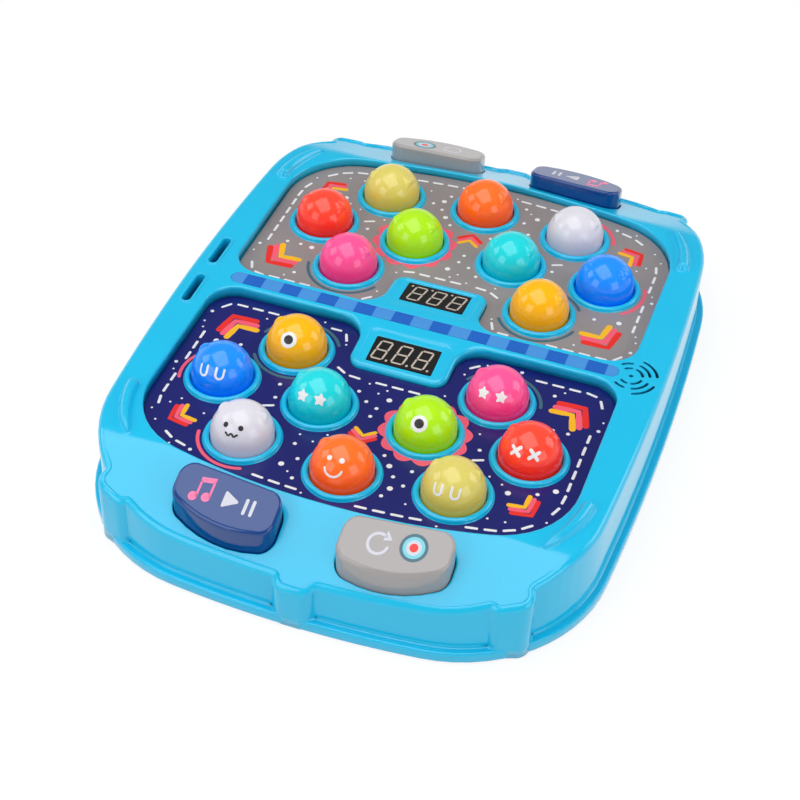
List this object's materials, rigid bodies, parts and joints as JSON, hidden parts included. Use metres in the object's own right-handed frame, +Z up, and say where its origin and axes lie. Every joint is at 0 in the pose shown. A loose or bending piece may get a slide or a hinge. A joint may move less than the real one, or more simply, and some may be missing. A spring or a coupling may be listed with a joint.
{
  "type": "whack-a-mole toy",
  "caption": "Two-player table-top whack-a-mole game: a bowed blue housing with round push-down moles in two printed panels, score displays and raised buttons at both ends.",
  "frame": {"origin": "on the table, under the middle of the housing", "axes": "+Z up, +Y from the near player to the far player, +X to the near player's right"},
  "size_m": [0.294, 0.388, 0.0645],
  "materials": {
    "housing": "satin moulded",
    "base": "fine matt",
    "near_panel": "printed, satin",
    "far_panel": "printed, satin",
    "strip": "printed, satin",
    "display": "gloss",
    "board": "coated board",
    "black_plastic": "matt",
    "light": "clear",
    "cell": "printed sleeve",
    "steel": "zinc plated",
    "rubber": "matt",
    "silicone": "translucent matt",
    "button_navy": "satin",
    "button_grey": "satin",
    "mole_blue": "gloss",
    "mole_gold": "gloss",
    "mole_teal": "gloss",
    "mole_white": "gloss",
    "mole_orange": "gloss",
    "mole_lime": "gloss",
    "mole_pink": "gloss",
    "mole_red": "gloss",
    "mole_olive": "gloss"
  },
  "bodies": {
    "housing": {"top_shell": "housing", "base_cover": "base", "near_panel": "near_panel", "far_panel": "far_panel", "centre_strip": "strip", "near_display": "display", "far_display": "display", "near_board": "board", "far_board": "board", "button_switches": "black_plastic", "mole_lights": "light", "speaker": "black_plastic", "battery_door": "base", "battery_cells": "cell", "battery_contacts": "steel", "screws": "steel", "feet": "rubber", "near_cup_blue": "silicone", "near_cup_gold": "silicone", "near_cup_teal": "silicone", "near_cup_white": "silicone", "near_cup_orange": "silicone", "near_cup_lime": "silicone", "near_cup_pink": "silicone", "near_cup_red": "silicone", "near_cup_olive": "silicone", "far_cup_blue": "silicone", "far_cup_gold": "silicone", "far_cup_teal": "silicone", "far_cup_white": "silicone", "far_cup_orange": "silicone", "far_cup_lime": "silicone", "far_cup_pink": "silicone", "far_cup_red": "silicone", "far_cup_olive": "silicone"},
    "power_switch": {"power_switch": "black_plastic"},
    "near_left_button": {"near_left_button": "button_navy"},
    "near_right_button": {"near_right_button": "button_grey"},
    "far_left_button": {"far_left_button": "button_grey"},
    "far_right_button": {"far_right_button": "button_navy"},
    "near_mole_blue": {"near_mole_blue": "mole_blue"},
    "near_mole_gold": {"near_mole_gold": "mole_gold"},
    "near_mole_teal": {"near_mole_teal": "mole_teal"},
    "near_mole_white": {"near_mole_white": "mole_white"},
    "near_mole_orange": {"near_mole_orange": "mole_orange"},
    "near_mole_lime": {"near_mole_lime": "mole_lime"},
    "near_mole_pink": {"near_mole_pink": "mole_pink"},
    "near_mole_red": {"near_mole_red": "mole_red"},
    "near_mole_olive": {"near_mole_olive": "mole_olive"},
    "far_mole_blue": {"far_mole_blue": "mole_blue"},
    "far_mole_gold": {"far_mole_gold": "mole_gold"},
    "far_mole_teal": {"far_mole_teal": "mole_teal"},
    "far_mole_white": {"far_mole_white": "mole_white"},
    "far_mole_orange": {"far_mole_orange": "mole_orange"},
    "far_mole_lime": {"far_mole_lime": "mole_lime"},
    "far_mole_pink": {"far_mole_pink": "mole_pink"},
    "far_mole_red": {"far_mole_red": "mole_red"},
    "far_mole_olive": {"far_mole_olive": "mole_olive"}
  },
  "joints": [
    {"name": "near_mole_blue_press", "type": "slide", "parent": "housing", "child": "near_mole_blue", "axis": [0, 0, -1], "range_m": [0, 0.004], "stiffness_N_per_m": 500, "springref_m": -0.002, "deforming": ["near_cup_blue"]},
    {"name": "near_mole_gold_press", "type": "slide", "parent": "housing", "child": "near_mole_gold", "axis": [0, 0, -1], "range_m": [0, 0.004], "stiffness_N_per_m": 500, "springref_m": -0.002, "deforming": ["near_cup_gold"]},
    {"name": "near_mole_teal_press", "type": "slide", "parent": "housing", "child": "near_mole_teal", "axis": [0, 0, -1], "range_m": [0, 0.004], "stiffness_N_per_m": 500, "springref_m": -0.002, "deforming": ["near_cup_teal"]},
    {"name": "near_mole_white_press", "type": "slide", "parent": "housing", "child": "near_mole_white", "axis": [0, 0, -1], "range_m": [0, 0.004], "stiffness_N_per_m": 500, "springref_m": -0.002, "deforming": ["near_cup_white"]},
    {"name": "near_mole_orange_press", "type": "slide", "parent": "housing", "child": "near_mole_orange", "axis": [0, 0, -1], "range_m": [0, 0.004], "stiffness_N_per_m": 500, "springref_m": -0.002, "deforming": ["near_cup_orange"]},
    {"name": "near_mole_lime_press", "type": "slide", "parent": "housing", "child": "near_mole_lime", "axis": [0, 0, -1], "range_m": [0, 0.004], "stiffness_N_per_m": 500, "springref_m": -0.002, "deforming": ["near_cup_lime"]},
    {"name": "near_mole_pink_press", "type": "slide", "parent": "housing", "child": "near_mole_pink", "axis": [0, 0, -1], "range_m": [0, 0.004], "stiffness_N_per_m": 500, "springref_m": -0.002, "deforming": ["near_cup_pink"]},
    {"name": "near_mole_red_press", "type": "slide", "parent": "housing", "child": "near_mole_red", "axis": [0, 0, -1], "range_m": [0, 0.004], "stiffness_N_per_m": 500, "springref_m": -0.002, "deforming": ["near_cup_red"]},
    {"name": "near_mole_olive_press", "type": "slide", "parent": "housing", "child": "near_mole_olive", "axis": [0, 0, -1], "range_m": [0, 0.004], "stiffness_N_per_m": 500, "springref_m": -0.002, "deforming": ["near_cup_olive"]},
    {"name": "far_mole_blue_press", "type": "slide", "parent": "housing", "child": "far_mole_blue", "axis": [0, 0, -1], "range_m": [0, 0.004], "stiffness_N_per_m": 500, "springref_m": -0.002, "deforming": ["far_cup_blue"]},
    {"name": "far_mole_gold_press", "type": "slide", "parent": "housing", "child": "far_mole_gold", "axis": [0, 0, -1], "range_m": [0, 0.004], "stiffness_N_per_m": 500, "springref_m": -0.002, "deforming": ["far_cup_gold"]},
    {"name": "far_mole_teal_press", "type": "slide", "parent": "housing", "child": "far_mole_teal", "axis": [0, 0, -1], "range_m": [0, 0.004], "stiffness_N_per_m": 500, "springref_m": -0.002, "deforming": ["far_cup_teal"]},
    {"name": "far_mole_white_press", "type": "slide", "parent": "housing", "child": "far_mole_white", "axis": [0, 0, -1], "range_m": [0, 0.004], "stiffness_N_per_m": 500, "springref_m": -0.002, "deforming": ["far_cup_white"]},
    {"name": "far_mole_orange_press", "type": "slide", "parent": "housing", "child": "far_mole_orange", "axis": [0, 0, -1], "range_m": [0, 0.004], "stiffness_N_per_m": 500, "springref_m": -0.002, "deforming": ["far_cup_orange"]},
    {"name": "far_mole_lime_press", "type": "slide", "parent": "housing", "child": "far_mole_lime", "axis": [0, 0, -1], "range_m": [0, 0.004], "stiffness_N_per_m": 500, "springref_m": -0.002, "deforming": ["far_cup_lime"]},
    {"name": "far_mole_pink_press", "type": "slide", "parent": "housing", "child": "far_mole_pink", "axis": [0, 0, -1], "range_m": [0, 0.004], "stiffness_N_per_m": 500, "springref_m": -0.002, "deforming": ["far_cup_pink"]},
    {"name": "far_mole_red_press", "type": "slide", "parent": "housing", "child": "far_mole_red", "axis": [0, 0, -1], "range_m": [0, 0.004], "stiffness_N_per_m": 500, "springref_m": -0.002, "deforming": ["far_cup_red"]},
    {"name": "far_mole_olive_press", "type": "slide", "parent": "housing", "child": "far_mole_olive", "axis": [0, 0, -1], "range_m": [0, 0.004], "stiffness_N_per_m": 500, "springref_m": -0.002, "deforming": ["far_cup_olive"]},
    {"name": "near_left_button_press", "type": "slide", "parent": "housing", "child": "near_left_button", "axis": [0, 0, -1], "range_m": [0, 0.0015], "stiffness_N_per_m": 900, "springref_m": -0.001},
    {"name": "near_right_button_press", "type": "slide", "parent": "housing", "child": "near_right_button", "axis": [0, 0, -1], "range_m": [0, 0.0015], "stiffness_N_per_m": 900, "springref_m": -0.001},
    {"name": "far_left_button_press", "type": "slide", "parent": "housing", "child": "far_left_button", "axis": [0, 0, -1], "range_m": [0, 0.0015], "stiffness_N_per_m": 900, "springref_m": -0.001},
    {"name": "far_right_button_press", "type": "slide", "parent": "housing", "child": "far_right_button", "axis": [0, 0, -1], "range_m": [0, 0.0015], "stiffness_N_per_m": 900, "springref_m": -0.001},
    {"name": "power_slide", "type": "slide", "parent": "housing", "child": "power_switch", "axis": [1, 0, 0], "range_m": [0, 0.004]}
  ]
}
